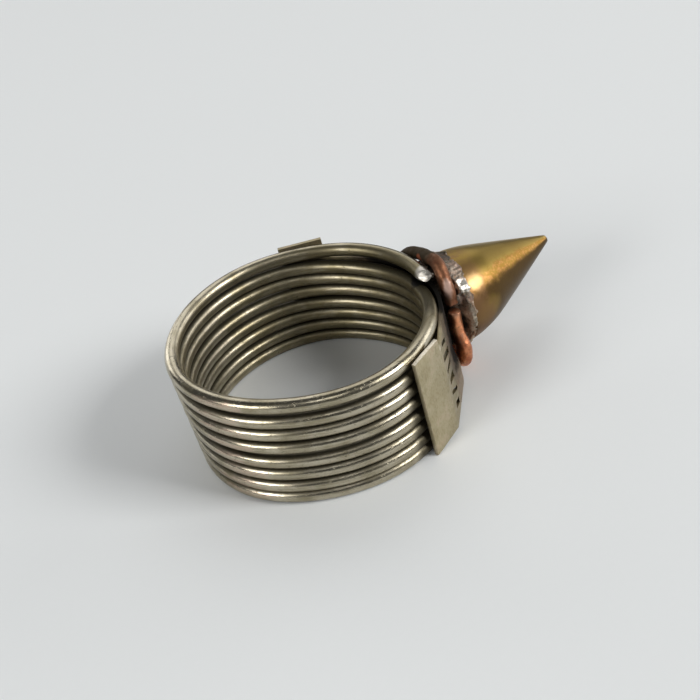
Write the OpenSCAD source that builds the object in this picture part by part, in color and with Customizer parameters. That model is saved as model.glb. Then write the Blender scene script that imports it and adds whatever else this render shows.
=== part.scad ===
// Statement ring: a finger band coiled from nickel silver wire, a thin strap
// soldered round its head, a copper wire oval on the strap, a solder collar and
// a brass spike. The ring lies on its side: Z = 0 is the surface it rests on,
// the finger hole runs along Z, and the spike points along +X.

/* [Coil band] */
// Mean radius from the finger hole's axis to the middle of the wire
band_r = 9.8; // [9.4:0.1:10.2]
// Diameter of the band wire
wire_d = 1.02; // [0.9:0.01:1.03]
// Sides of the wire's section
wire_sides = 10; // [8:1:12]
// Sections along each turn of the wire
turn_sections = 48; // [40:4:60]
// Part of each step that the wire makes gently along its turn
gentle_drop = 0.3; // [0:0.05:0.4]

/* [Head strap] */
// Thickness of the strap's sheet
strap_t = 0.3; // [0.25:0.01:0.35]
// Width of the strap along the finger hole
strap_w = 8.3; // [7.6:0.1:8.4]
// Height by which the tabs stand above the strap between them
tab_step = 1.05; // [0.95:0.05:1.4]
// Length of the flat tab at each end of the strap
tab_len = 2.85; // [2:0.05:3.2]
// Angle by which the soldered head is pitched up from the band
strap_pitch = 3.5; // [2.5:0.25:4]
// Depth of the slanted strokes stamped beside the near tab
stroke_depth = 0.12; // [0.06:0.02:0.18]

/* [Copper oval] */
// Diameter of the copper wire
copper_d = 1; // [0.8:0.05:1.05]
// Sides of the copper wire's section
copper_sides = 10; // [8:1:12]

/* [Spike] */
// Largest radius of the brass spike, at its shoulder
spike_r = 3.7; // [3.4:0.05:3.8]
// Length of the spike's cone, from its shoulder to its tip
cone_len = 8.75; // [7:0.05:10]
// Length of the spike's plain skirt, below the shoulder
skirt_len = 1.75; // [1.6:0.05:2]
// Radius of the spike's worn tip
tip_r = 0.18; // [0.08:0.02:0.3]
// Angle of the spike off the head's middle line, seen from above
spike_yaw = 3; // [0:0.5:4]
// Angle by which the spike points up
spike_pitch = 4.6; // [3:0.2:6]

/* [Solder] */
// Thickness of the solder that coats the skirt
solder_t = 0.2; // [0.14:0.01:0.24]
// Number of notches in the solder's torn edge
notch_count = 11; // [7:1:15]

/* [Hidden] */
gap = 0.03;
wire_r = wire_d / 2;
copper_r = copper_d / 2;

// The band's plan, as the radius of the wire's middle line round the finger hole.
// Columns: angle from the spike, share of band_r on the top turn, on the bottom turn
PLAN = [
    [0, 0.982, 0.966], [30, 0.996, 0.995], [60, 1.020, 1.006], [90, 1.018, 0.991],
    [120, 1.012, 0.962], [150, 1.015, 0.954], [180, 1.033, 0.980], [210, 1.000, 1.026],
    [240, 0.987, 1.001], [270, 1.020, 1.007], [300, 0.977, 0.990], [330, 0.950, 0.956]
];
PLAN_TOP = 1;
PLAN_BOTTOM = 2;
// Drop from each turn to the next, from the top turn down
TURN_DROPS = [1.25, 1.05, 1.12, 1.26, 1.05, 1.08, 1.14];
turns = len(TURN_DROPS) + 1;
// Angle of the wire's cut end, from the spike
start_angle = -7.5;
// Share of a turn after which the wire steps down behind the head
step_from = 0.83;
// Turns of wire that pass over the strap's top edge, from the cut end
turns_over_strap = 0.5;

function sum_to(list, n, i = 0) = i >= n || i >= len(list) ? 0 : list[i] + sum_to(list, n, i + 1);
function smooth(s) = let (c = max(0, min(1, s))) c * c * (3 - 2 * c);
function wrapped(a) = ((a % 360) + 360) % 360;
function curve(p, f) =
    (2 * p[1] + (p[2] - p[0]) * f
        + (2 * p[0] - 5 * p[1] + 4 * p[2] - p[3]) * f * f
        + (3 * p[1] - p[0] - 3 * p[2] + p[3]) * f * f * f) / 2;
function plan_share(a, column) =
    let (s = wrapped(a) / 360 * len(PLAN), i = floor(s))
    curve([for (j = [-1:2]) PLAN[(i + j + len(PLAN)) % len(PLAN)][column]], s - i);
// The smaller of two values, rounded over a span s where they cross
function soft_min(p, q, s) =
    let (h = max(0, min(1, 0.5 + (q - p) / (2 * s))))
    q + (p - q) * h - s * h * (1 - h);
function wire_drop(u) =
    let (k = min(floor(u), turns - 1), f = u - k)
    sum_to(TURN_DROPS, k)
        + (k < len(TURN_DROPS)
            ? gentle_drop * f + (TURN_DROPS[k] - gentle_drop) * smooth((f - step_from) / (1 - step_from))
            : 0);
band_drop = sum_to(TURN_DROPS, len(TURN_DROPS));
function pressed_r(a, z, u) =
    let (
        share = u / turns,
        free = band_r * (plan_share(a, PLAN_TOP) * (1 - share) + plan_share(a, PLAN_BOTTOM) * share)
    )
    soft_min(free, strap_limit(a, z, u < turns_over_strap), pressed_span);
// The wire's stiffness rounds its bends, as a mean of its pressed radius over a span of angle
function wire_point(u) =
    let (
        a = start_angle + 360 * u,
        z = wire_r + band_drop - wire_drop(u),
        near = [for (i = [-stiff_samples:stiff_samples]) pressed_r(a + stiff_angle * i / stiff_samples, z, u)],
        r = sum_to(near, len(near)) / len(near)
    )
    [r * cos(a), r * sin(a), z];

// The strap's middle line in plan: an arc round the head, a straight run on each
// side that leaves it on the tangent, and a flat tab beyond a crease
arc_mid_x = 0.99;
arc_r = 9.31 - strap_t / 2;
arc_half = 36;
run_len = 4.45;
tab_turn = 29;
arc_end = [arc_mid_x + arc_r * cos(arc_half), arc_r * sin(arc_half)];
run_dir = [-sin(arc_half), cos(arc_half)];
crease = arc_end + run_len * run_dir;
tab_angle = 90 + arc_half + tab_turn;
// Angle from the spike beyond which neither tab lies over the wires
tabs_end = tab_angle - 45;
// Height of the strap's middle where the finger hole's axis meets it, and the angle
// by which its far side is raised
strap_mid = 4.09;
strap_roll = 0.5;
// Edges of the strap and its tabs, from its middle
strap_low = -strap_w / 2;
tab_high = strap_w / 2;
strap_high = tab_high - tab_step;
// Extra height of the far tab, and how far it overhangs its crease
far_rise = 0.4;
far_overhang = 0.7;
// Shift of the strap's plan for each millimetre of height
strap_lean = [-tan(strap_pitch), -tan(strap_roll)];
// Space from the strap's middle line to the middle line of a wire pressed against it,
// with some slack that its rounded bends take up
bend_slack = 0.09;
wire_seat = strap_t / 2 + wire_r + gap + bend_slack;
pressed_span = 0.3;
// Angle to each side over which the wire's bends are rounded, and samples taken in it
stiff_angle = 15;
stiff_samples = 4;

// Largest radius at which a wire at angle a and height z clears the inner face of
// the strap, or of its tabs alone where the wire passes over the strap's edge
function strap_limit(a, z, over_edge) =
    let (
        to = [cos(a), sin(a)],
        side = sin(a) < 0 ? -1 : 1,
        shift = (z - strap_mid) * strap_lean,
        centre = [arc_mid_x, 0] + shift,
        run_face = [cos(arc_half), side * sin(arc_half)],
        tab_face = [sin(tab_angle), -side * cos(tab_angle)],
        corner = [crease.x, side * crease.y] + shift,
        off = acos(cos(a)),
        tab_limit = (corner * tab_face - wire_seat) / (to * tab_face)
    )
    off > tabs_end || (over_edge && off < arc_half) ? 2 * band_r
        : over_edge ? tab_limit
        : off < arc_half ? centre * to + sqrt((arc_r - wire_seat) ^ 2 - cross(centre, to) ^ 2)
        : min((centre * run_face + arc_r - wire_seat) / (to * run_face), tab_limit);

function unit(v) = v / norm(v);
// Points round a wire's section at p, square to the direction d; no wire runs along up
function section(p, d, r, sides, up) =
    let (side = unit(cross(d, up)), over = cross(side, d))
    [for (i = [0:sides - 1]) p + r * (cos(360 * i / sides) * side + sin(360 * i / sides) * over)];

// A round wire along a list of points, with flat ends
module wire(path, r, sides, up) {
    last = len(path) - 1;
    rings = [for (i = [0:last])
        section(path[i], unit(path[min(i + 1, last)] - path[max(i - 1, 0)]), r, sides, up)];
    points = [for (ring = rings) each ring];
    walls = [for (i = [0:last - 1], j = [0:sides - 1])
        let (k = (j + 1) % sides)
        [i * sides + j, i * sides + k, (i + 1) * sides + k, (i + 1) * sides + j]];
    first_cap = [for (j = [sides - 1:-1:0]) j];
    last_cap = [for (j = [0:sides - 1]) last * sides + j];
    polyhedron(points, concat([first_cap], walls, [last_cap]));
}

module coil_band() {
    steps = turns * turn_sections;
    color("silver")
        wire([for (i = [0:steps]) wire_point(i / turn_sections)], wire_r, wire_sides, [0, 0, 1]);
}

module on_strap() {
    translate([0, 0, strap_mid])
        rotate([strap_roll, -strap_pitch, 0])
            children();
}

// A flat length of the strap, from a point of its middle line up to a height
module flat_length(from, angle, len, high) {
    translate([from.x, from.y, strap_low])
        rotate([0, 0, angle])
            translate([0, -strap_t / 2, 0])
                cube([len, strap_t, high - strap_low]);
}

// One side of the strap, with its tab's height and its overhang past the crease
module strap_half(high, overhang) {
    tab_start = crease - overhang * [cos(tab_angle), sin(tab_angle)];
    flat_length(arc_end, 90 + arc_half, run_len, strap_high);
    flat_length(tab_start, tab_angle, tab_len + overhang, high);
    translate([crease.x, crease.y, strap_low])
        cylinder(r = strap_t / 2, h = high - strap_low, $fn = 32);
}

// Slanted strokes stamped in the straight run beside the near tab
STROKE_COUNT = 6;
stroke_w = 0.36;
stroke_len = 2.3;
stroke_slant = 110;
stroke_middle = 1.9;
module strokes() {
    pitch = (strap_high - strap_low) / (STROKE_COUNT + 0.2);
    for (i = [0:STROKE_COUNT - 1])
        translate([crease.x, -crease.y, strap_low + pitch * (i + 0.6)])
            rotate([0, 0, 90 - arc_half])
                translate([stroke_middle, -strap_t / 2, 0])
                    rotate([0, stroke_slant - 90, 0])
                        cube([stroke_len, 2 * stroke_depth, stroke_w], center = true);
}

module head_strap() {
    color("gainsboro")
        on_strap()
            difference() {
                union() {
                    translate([arc_mid_x, 0, 0])
                        rotate([0, 0, -arc_half])
                            rotate_extrude(angle = 2 * arc_half, $fn = 96)
                                translate([arc_r - strap_t / 2, strap_low])
                                    square([strap_t, strap_high - strap_low]);
                    strap_half(tab_high + far_rise, far_overhang);
                    mirror([0, 1, 0]) strap_half(tab_high, 0);
                }
                strokes();
            }
}

// The copper wire's middle line, an oval that leans on the strap at top and bottom.
// Columns: X, Y, height above the resting surface
OVAL = [
    [10.28, -3.60, 5.92], [10.28, -3.52, 4.90], [10.28, -3.75, 3.90], [10.34, -4.00, 2.85],
    [10.40, -3.92, 1.90], [10.54, -3.45, 1.10], [10.84, -2.40, 0.65], [11.08, -0.90, 0.56],
    [11.08, 0.60, 0.58], [10.94, 1.90, 0.95], [10.62, 3.00, 1.90], [10.40, 3.55, 3.10],
    [10.32, 3.70, 4.40], [10.30, 3.60, 5.70], [10.32, 3.45, 6.90], [10.40, 2.95, 7.85],
    [10.62, 1.95, 8.50], [10.74, 0.90, 8.76], [10.72, -0.30, 9.00], [10.66, -1.30, 9.10],
    [10.54, -2.15, 8.80], [10.46, -2.62, 8.00], [10.42, -2.92, 7.20], [10.40, -3.03, 6.62]
];
oval_steps = 3;
oval_path = [for (i = [0:len(OVAL) - 2], j = [0:oval_steps - 1])
    curve([OVAL[max(i - 1, 0)], OVAL[i], OVAL[i + 1], OVAL[min(i + 2, len(OVAL) - 1)]], j / oval_steps)];

module copper_oval() {
    color("chocolate")
        wire(concat(oval_path, [OVAL[len(OVAL) - 1]]), copper_r, copper_sides, [1, 0, 0]);
}

// The spike's foot, on its own axis
spike_foot = [11.3, -0.54, 4.82];
module on_spike_axis() {
    translate(spike_foot)
        rotate([0, 90 - spike_pitch, spike_yaw])
            children();
}

// Radii of the skirt under its solder and of the foot inside its bevel
foot_bevel = 0.25;
coated_r = spike_r - solder_t;
foot_r = coated_r - foot_bevel;
// Height at which the coat of solder ends, below a small lip at the shoulder
bare_band = 0.3;
lip = 0.12;
coat_top = skirt_len - bare_band;
// Height of the worn tip above the sharp edge of its flat
tip_base = skirt_len + cone_len - tip_r * (spike_r - tip_r) / cone_len;
tip_crown = tip_r * 0.6;
module spike() {
    color("goldenrod")
        on_spike_axis()
            rotate_extrude($fn = 96)
                polygon([
                    [0, 0], [foot_r, 0], [coated_r, foot_bevel], [coated_r, coat_top],
                    [spike_r, coat_top + lip], [spike_r, skirt_len],
                    [tip_r, tip_base], [tip_crown, tip_base + tip_crown / 2], [0, tip_base + tip_crown]
                ]);
}

// Solder: a sleeve round the spike's skirt and a pad under its foot, down to the strap
pad_r = 2.3;
pad_drop = 0.82;
// Underside of the sleeve, from the pad out to its rim, and where it is thickest
rim_drop = 0.22;
rim_rise = 0.1;
rim_t = 0.09;
bulge_at = 0.7;
// Size of the notches in the torn edge, how much they vary and how far they stray
notch = 0.62;
notch_vary = 0.2;
notch_stray = 9;
module solder_collar() {
    color("slategray")
        difference() {
            on_spike_axis() {
                difference() {
                    rotate_extrude($fn = 96)
                        polygon([
                            [0, -pad_drop], [pad_r, -pad_drop], [pad_r, -rim_drop],
                            [foot_r, -rim_drop], [coated_r + rim_t, rim_rise],
                            [spike_r, bulge_at], [spike_r, coat_top - gap],
                            [coated_r + gap, coat_top - gap], [coated_r + gap, foot_bevel - gap],
                            [foot_r, -gap], [0, -gap]
                        ]);
                    for (i = [0:notch_count - 1])
                        rotate([0, 0, 360 * i / notch_count + notch_stray * sin(137 * i)])
                            translate([spike_r, 0, coat_top])
                                rotate([45, 0, 0])
                                    cube(notch + notch_vary * sin(77 * i), center = true);
                }
            }
            on_strap()
                translate([arc_mid_x, 0, 0])
                    cylinder(r = arc_r + strap_t / 2 + gap, h = strap_w + 2, center = true, $fn = 96);
        }
}

coil_band();
head_strap();
copper_oval();
solder_collar();
spike();
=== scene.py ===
"""Looks of a worn statement ring: a coiled wire band, a sheet strap round its head,
a copper wire oval, lumpy solder and a turned brass spike."""

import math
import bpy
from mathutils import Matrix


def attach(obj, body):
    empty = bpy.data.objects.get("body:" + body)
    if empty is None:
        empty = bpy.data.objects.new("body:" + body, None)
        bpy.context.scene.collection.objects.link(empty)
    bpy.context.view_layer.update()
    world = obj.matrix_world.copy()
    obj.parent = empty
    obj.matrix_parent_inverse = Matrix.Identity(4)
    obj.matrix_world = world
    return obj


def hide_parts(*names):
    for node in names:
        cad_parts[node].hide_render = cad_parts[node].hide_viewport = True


bl_info = {
    "name": "Statement Ring",
    "version": (1, 0, 0),
    "blender": (4, 5, 0),
    "location": "3D View > Sidebar > Ring",
    "description": "Builds the pieces of a wire statement ring with a brass spike, and its stage",
    "category": "Add Mesh",
}

import bmesh
import bpy
from bpy.props import (
    FloatProperty,
    FloatVectorProperty,
    IntProperty,
    PointerProperty,
)
from bpy.types import Operator, Panel, PropertyGroup
from mathutils import Matrix, Vector

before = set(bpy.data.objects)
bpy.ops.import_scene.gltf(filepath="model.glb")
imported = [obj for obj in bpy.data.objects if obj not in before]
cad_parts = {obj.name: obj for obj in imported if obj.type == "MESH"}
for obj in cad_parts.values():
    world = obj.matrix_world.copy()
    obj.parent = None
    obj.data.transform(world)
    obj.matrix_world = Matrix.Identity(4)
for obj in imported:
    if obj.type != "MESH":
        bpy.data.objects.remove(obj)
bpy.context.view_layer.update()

MM = 0.001
BODY = "root"
CLOSE = 1e-7  # Points nearer than this are merged, in metres
CAD_CLOSE = 1e-6  # The same for the CAD's points
QUAD_ANGLE = math.radians(60)  # Up to which two triangles make a quad


# Shader maths


class Flow:
    """A node's output. Arithmetic on it adds Math nodes to its tree."""

    def __init__(self, tree, socket=None):
        self.tree = tree
        self.socket = socket

    def node(self, kind, settings=None, sockets=None, output=0):
        """Adds a node with these settings and sockets, and returns one of its outputs."""
        made = self.tree.nodes.new("ShaderNode" + kind)
        for name, value in (settings or {}).items():
            setattr(made, name, value)
        for name, value in (sockets or {}).items():
            if isinstance(value, Flow):
                self.tree.links.new(value.socket, made.inputs[name])
            else:
                made.inputs[name].default_value = value
        return Flow(self.tree, made.outputs[output]) if made.outputs else None

    def math(self, operation, *values):
        return self.node("Math", {"operation": operation}, dict(enumerate(values)))

    def vector(self, operation, sockets, output=0):
        return self.node("VectorMath", {"operation": operation}, sockets, output)

    def __add__(self, other):
        return self.math("ADD", self, other)

    def __sub__(self, other):
        return self.math("SUBTRACT", self, other)

    def __rsub__(self, other):
        return self.math("SUBTRACT", other, self)

    def __mul__(self, other):
        return self.math("MULTIPLY", self, other)

    def __truediv__(self, other):
        return self.math("DIVIDE", self, other)

    def __abs__(self):
        return self.math("ABSOLUTE", self)

    def rise(self, low, high):
        """0 below low and 1 above high, smooth between them; high may be the smaller."""
        sockets = {"Value": self, "From Min": low, "From Max": high}
        return self.node("MapRange", {"interpolation_type": "SMOOTHSTEP"}, sockets)

    def mix(self, under, over):
        """The colour under where this value is 0, and over where it is 1."""
        sockets = {0: self, 6: rgba(under), 7: rgba(over)}
        return self.node("Mix", {"data_type": "RGBA"}, sockets, output=2)

    def scaled(self, factors):
        """A vector times a factor for each of its parts."""
        return self.vector("MULTIPLY", {0: self, 1: factors})

    def noise(self, scale, detail, roughness):
        """Noise from 0 to 1 over this vector."""
        sockets = {"Vector": self, "Scale": scale, "Detail": detail, "Roughness": roughness}
        return self.node("TexNoise", None, sockets)

    def warped(self, amount, scale):
        """This vector, moved about by noise."""
        colour = self.node("TexNoise", None, {"Vector": self, "Scale": scale}, output="Color")
        centred = {0: colour, 1: (amount,) * 3, 2: (-amount / 2,) * 3}
        push = self.vector("MULTIPLY_ADD", centred)
        return self.vector("ADD", {0: self, 1: push})

    def near(self, place, core, reach):
        """1 within core of a place, and 0 beyond reach of it."""
        return self.vector("DISTANCE", {0: self, 1: place}, "Value").rise(reach, core)

    def along(self, way):
        """How far this vector reaches along a direction."""
        return self.vector("DOT_PRODUCT", {0: self, 1: way}, "Value")

    def clamped(self):
        return self.node("Clamp", None, {"Value": self})

    def axis(self, index):
        """One part of a vector."""
        return self.node("SeparateXYZ", None, {0: self}, output=index)


def rgba(colour):
    return colour if isinstance(colour, Flow) else (*colour, 1.0)


def new_material(name):
    """An empty material, and the start of its tree."""
    material = bpy.data.materials.new(name)
    material.use_nodes = True
    material.node_tree.nodes.clear()
    return material, Flow(material.node_tree)


def in_mm(start):
    """Object coordinates in millimetres."""
    spot = start.node("TexCoord", output="Object")
    return start.vector("SCALE", {0: spot, "Scale": 1 / MM})


def bumped(start, height, depth, strength):
    """A normal bumped by a height from 0 to 1 that stands for depth."""
    sockets = {"Height": height, "Distance": depth, "Strength": strength}
    return start.node("Bump", None, sockets)


def shade(start, **sockets):
    """Ends a tree with a Principled shader; underscores in names stand for spaces."""
    spaced = {name.replace("_", " "): value for name, value in sockets.items()}
    shader = start.node("BsdfPrincipled", None, spaced)
    start.node("OutputMaterial", None, {"Surface": shader})


BAND_RADIUS = 9.8  # R of the band's wire, in mm
STREAK_SHIFT = 0.73  # Share of R that is added to Z across the streaks
WIRE_END = (9.7, -1.4, 8.3)  # Middle of the wire's cut end, in mm
PINK_WAY = (-0.895, -0.446, 0.0)  # Towards the band's pink tint
SPIKE_WAY = (0.995, 0.052, 0.080)  # Direction in which the spike points
SPIKE_FOOT_ALONG = 11.6  # Where along it the spike's foot is, in mm

# Spots where a metal differs, in mm. Columns: middle, radius within which it differs
# fully, and radius beyond which it doesn't
BARE_WIRE = WIRE_END, 0.75, 1.0
TINNED_END = WIRE_END, 0.55, 0.8
BURNT_WIRE = (9.45, -0.75, 7.6), 0.6, 1.0
RED_COPPER = (10.3, 0.42, 8.8), 0.22, 0.42
COPPER_START = (10.3, -3.6, 5.9), 0.45, 0.75
# A painted highlight: a pink streak along the upper copper lobe's flank
COPPER_HIGHLIGHT_STREAK = (10.25, -3.25, 7.6), 0.15, 0.45
BRIGHT_SOLDER = (11.3, -2.9, 7.2), 0.45, 0.7
BRIGHT_EDGE = (11.75, -3.2, 7.3), 0.4, 0.62
BROWN_SOLDER = (11.9, -4.0, 5.8), 0.5, 1.2
BLUE_SOLDER = (9.9, -0.8, 7.1), 0.5, 1.0
# Painted shadow: black solder in the gap behind the copper wire
GAP_SHADOW_SPOT = (9.9, -3.0, 4.1), 1.4, 1.8
TOP_SOLDER = (11.6, -0.2, 8.6), 0.6, 1.1
OLIVE_BRASS = (13.2, -4.1, 4.6), 0.5, 1.7
# A painted highlight: bright brass on the spike's shoulder
BRASS_HIGHLIGHT_SPOT = (12.7, -3.3, 7.3), 0.45, 0.9

# Spans over which a change sets in, in mm. Columns: where it starts and is complete
OPEN_TOP_Z = (8.0, 8.4)  # Open side of the top turn, which gets neither groove grime nor painted shade
BARE_END_Z = (7.75, 7.95)
INNER_SIDE_R = (BAND_RADIUS, 9.45)
# Where painted shade darkens the band's inner wall
INNER_WALL_SHADE_X = (-7.0, 1.0)
# Where grime and a painted shadow darken the wires beside the tabs
TABS_X = (1.7, 2.6)
TABS_Y = (8.6, 9.6)
PINK_SIDE = (10.05, 10.3)  # Along the direction of the pink tint
CREASE_X = (5.7, 6.3)
# Where the strap's lower bend gets brown fire scale and painted shade
FIRE_SCALE_AND_SHADE_X = (7.1, 7.9)
# Where painted shadow blackens the strap in the gap behind the copper wire
LOWER_GAP_SHADOW_X = (6.7, 7.9)
LOWER_GAP_SHADOW_Z = (1.6, 3.4)
GAP_SHADOW_X = (7.9, 8.5)
GAP_SHADOW_Z = (2.3, 3.1)
# Where painted shade darkens the far tab's inner face
FAR_TAB_SHADE_Y = (8.0, 8.6)
# Where the strap's top edges get a painted highlight
LIT_EDGE_Y = (2.0, -2.0)
WORN_STROKES_Z = (4.2, 2.2)
BLACK_CREST_Y = (-1.7, -0.5)
BLACK_CREST_Z = (6.5, 7.5)
DULL_COPPER_Z = (6.0, 6.8)
GREEN_SOLDER_Z = (6.4, 5.0)
STAINED_SKIRT = (3.2, 1.6)  # Along the spike, from its foot

# Spans of the normal's Z for the sides of the spike and of the strap, where shade and a highlight
# are painted
BRASS_SHADED_UNDERSIDE = (0.58, 0.36)
BRASS_SHADED_TOP = (0.70, 0.80)
SHEET_LIT_TOP_EDGE = (0.7, 0.95)


def around(start, p):
    """X, Y and Z of a place, and its distance from the finger hole's axis."""
    x, y, z = (p.axis(i) for i in range(3))
    return x, y, z, start.math("SQRT", x * x + y * y)


def along_wire(start, p, length, width):
    """A vector for streaks that run round the finger hole: the plan direction in cells of a
    length at the band's radius, and R and Z in cells of a width."""
    x, y, z, radius = around(start, p)
    cells = BAND_RADIUS / length
    across = (z + radius * STREAK_SHIFT) / width
    parts = {0: x / radius * cells, 1: y / radius * cells, 2: across}
    return start.node("CombineXYZ", None, parts)


def wire_metal(colours):
    material, start = new_material("nickel silver wire")
    p = in_mm(start)
    x, y, z, radius = around(start, p)
    streaks = along_wire(start, p, 2.4, 0.1).noise(1.0, 3.0, 0.6)
    fine = along_wire(start, p, 0.8, 0.05).noise(1.0, 2.0, 0.5)
    blotches = p.noise(0.4, 3.0, 0.6)
    pits = p.noise(4.5, 3.0, 0.7)
    steep = abs(start.node("TexCoord", output="Normal").axis(2))
    below_top = 1 - z.rise(*OPEN_TOP_Z)
    # Grime in the grooves between turns, and painted shade where the turns meet
    groove_grime_and_shade = (steep + pits * 0.22).rise(0.62, 1.0) * below_top
    inside = radius.rise(*INNER_SIDE_R)
    # Grime, and painted shadow where the tabs shade the wires
    tab_shadow_and_grime = x.rise(*TABS_X) * abs(y).rise(*TABS_Y) * below_top
    burnt = p.warped(0.6, 1.5).near(*BURNT_WIRE)
    dirt_and_shade = start.math("MAXIMUM", groove_grime_and_shade * 0.88, tab_shadow_and_grime * 0.9)
    nicks = pits.rise(0.61, 0.68) * 0.6
    # Painted shade on the inner wall, towards the head
    inner_wall_shade = inside * x.rise(*INNER_WALL_SHADE_X) * 0.6
    tarnish = blotches.rise(0.38, 0.66) * 0.5 + streaks.rise(0.45, 0.66) * 0.35
    # Tarnish, and the painted shade of the inner wall
    aged = (tarnish + inner_wall_shade).clamped()
    bare = p.near(*BARE_WIRE) * z.rise(*BARE_END_Z)
    base = aged.mix(colours.wire, colours.aged_wire_and_shade)
    base = (streaks.rise(0.62, 0.75) * pits.rise(0.5, 0.6) * 0.35).mix(base, colours.pink)
    tinted = p.warped(1.2, 0.8).along(PINK_WAY).rise(*PINK_SIDE)
    base = (tinted * streaks.rise(0.42, 0.56) * 0.38).mix(base, colours.pink)
    base = start.math("MAXIMUM", dirt_and_shade, nicks * 0.8).mix(base, colours.grime_and_shade)
    base = burnt.mix(base, colours.soot_and_shadow)
    base = bare.mix(base, colours.solder)
    height = streaks * 0.5 + fine * 0.3 + pits * 0.4 - nicks * 0.8
    shade(
        start,
        Base_Color=base,
        Metallic=1.0,
        Roughness=streaks * 0.26 + aged * 0.08 + dirt_and_shade * 0.25 + inside * 0.1 + bare * 0.12 + 0.1,
        Normal=bumped(start, height, 0.02 * MM, 0.7),
    )
    return material


def sheet_metal(colours):
    material, start = new_material("nickel silver sheet")
    p = in_mm(start)
    normal = start.node("TexCoord", output="Normal")
    grain = p.scaled((2.0, 2.0, 1.0)).noise(4.0, 3.0, 0.7)
    fine = p.noise(14.0, 2.0, 0.6)
    blotches = p.noise(0.7, 3.0, 0.55)
    scratch = p.scaled((5.0, 5.0, 0.5)).noise(1.6, 3.0, 0.6).rise(0.62, 0.66)
    aged = (blotches.rise(0.4, 0.62) * 0.4 + grain.rise(0.42, 0.66) * 0.5).clamped()
    base = aged.mix(colours.sheet, colours.sheet_aged)
    base = (scratch * 0.4).mix(base, colours.aged_wire_and_shade)
    base = (blotches.rise(0.5, 0.35) * fine.rise(0.45, 0.6) * 0.4).mix(base, colours.pink)
    warped = p.warped(1.0, 1.0)
    x, z = warped.axis(0), warped.axis(2)
    # Brown fire scale on the lower bend, and painted shade where it faces down
    on_arc = x.rise(*FIRE_SCALE_AND_SHADE_X)
    # Painted shadow in the gap behind the copper wire, drawn in soot and grime colours
    gap_shadow = x.rise(*GAP_SHADOW_X) * z.rise(*GAP_SHADOW_Z)
    lower_gap_shadow = x.rise(*LOWER_GAP_SHADOW_X) * z.rise(*LOWER_GAP_SHADOW_Z)
    past_crease = x.rise(*CREASE_X)
    base = (past_crease * (blotches * 0.5 + 0.3)).mix(base, colours.aged_wire_and_shade)
    base = (on_arc * (grain * 0.3 + 0.6)).mix(base, colours.fire_scale_and_shade)
    base = (lower_gap_shadow * (grain * 0.5 + 0.4)).mix(base, colours.grime_and_shade)
    base = (gap_shadow * 0.97).mix(base, colours.soot_and_shadow)
    # Painted shade on the far tab's inner face, in the grime colour
    far_tab_shade = p.axis(1).rise(*FAR_TAB_SHADE_Y) * normal.axis(1).rise(-0.3, -0.6)
    base = (far_tab_shade * 0.5).mix(base, colours.grime_and_shade)
    # Painted highlight on the strap's upward-facing top edges
    lit_top_edge = normal.axis(2).rise(*SHEET_LIT_TOP_EDGE) * p.axis(1).rise(*LIT_EDGE_Y)
    edge_highlight_mask = lit_top_edge * (1 - past_crease)
    base = (edge_highlight_mask * grain.rise(0.25, 0.55) * 0.95).mix(base, colours.edge_highlight)
    shade(
        start,
        Base_Color=base,
        Metallic=1.0,
        Roughness=grain * 0.14 + aged * 0.1 + gap_shadow * 0.3 - edge_highlight_mask * 0.1 + 0.36,
        Normal=bumped(start, grain * 0.5 + fine * 0.4 - scratch * 0.4, 0.02 * MM, 0.7),
    )
    return material


def stroke_metal(colours):
    material, start = new_material("tarnished stroke")
    p = in_mm(start)
    grain = p.noise(6.0, 3.0, 0.6)
    worn_away = p.axis(2).rise(*WORN_STROKES_Z)
    base = grain.rise(0.45, 0.65).mix(colours.grime_and_shade, colours.aged_wire_and_shade)
    shade(
        start,
        Base_Color=(worn_away * 0.6).mix(base, colours.sheet_aged),
        Metallic=1.0,
        Roughness=grain * 0.2 + 0.5,
    )
    return material


def copper_metal(colours):
    material, start = new_material("oxidised copper")
    p = in_mm(start)
    blotches = p.noise(1.1, 4.0, 0.6)
    grain = p.noise(5.0, 3.0, 0.65)
    fine = p.noise(16.0, 2.0, 0.6)
    warped = p.warped(1.0, 1.4)
    ragged_y = warped.axis(1) + (blotches - 0.5) * 1.5
    crest = ragged_y.rise(*BLACK_CREST_Y) * p.axis(2).rise(*BLACK_CREST_Z)
    red_spot = p.near(*RED_COPPER)
    black = (crest * 0.9 + blotches.rise(0.6, 0.75) * 0.5).clamped()
    flat_start = p.near(*COPPER_START)
    base = blotches.rise(0.34, 0.62).mix(colours.copper, colours.copper_red)
    base = (grain.rise(0.52, 0.66) * 0.5).mix(base, colours.rust)
    dull = p.axis(2).rise(*DULL_COPPER_Z)
    base = (dull * (grain * 0.3 + 0.72)).mix(base, colours.copper_dull)
    rubs = p.scaled((1.0, 1.0, 0.25)).noise(2.2, 2.0, 0.5).rise(0.6, 0.68)
    base = (rubs * 0.25).mix(base, colours.pink)
    base = black.mix(base, colours.grime_and_shade)
    base = (flat_start * 0.35).mix(base, colours.solder_dull)
    base = (red_spot * 0.9).mix(base, colours.copper_red)
    # Painted highlight: a pink, less metallic streak on the upper lobe's flank
    spot, core, reach = COPPER_HIGHLIGHT_STREAK
    tall = (1.0, 1.0, 0.3)
    tall_spot = tuple(c * t for c, t in zip(spot, tall))
    copper_highlight_streak = p.warped(0.3, 2.5).scaled(tall).near(tall_spot, core, reach)
    base = (copper_highlight_streak * 0.85).mix(base, colours.pink)
    rough = blotches * 0.16 + grain * 0.14 + dull * 0.14 + black * 0.16 - copper_highlight_streak * 0.1 + 0.24
    shade(
        start,
        Base_Color=base,
        Metallic=1 - copper_highlight_streak * 0.7,
        Roughness=rough,
        Normal=bumped(start, blotches * 0.4 + grain * 0.4 + fine * 0.2, 0.04 * MM, 0.6),
    )
    return material


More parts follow.
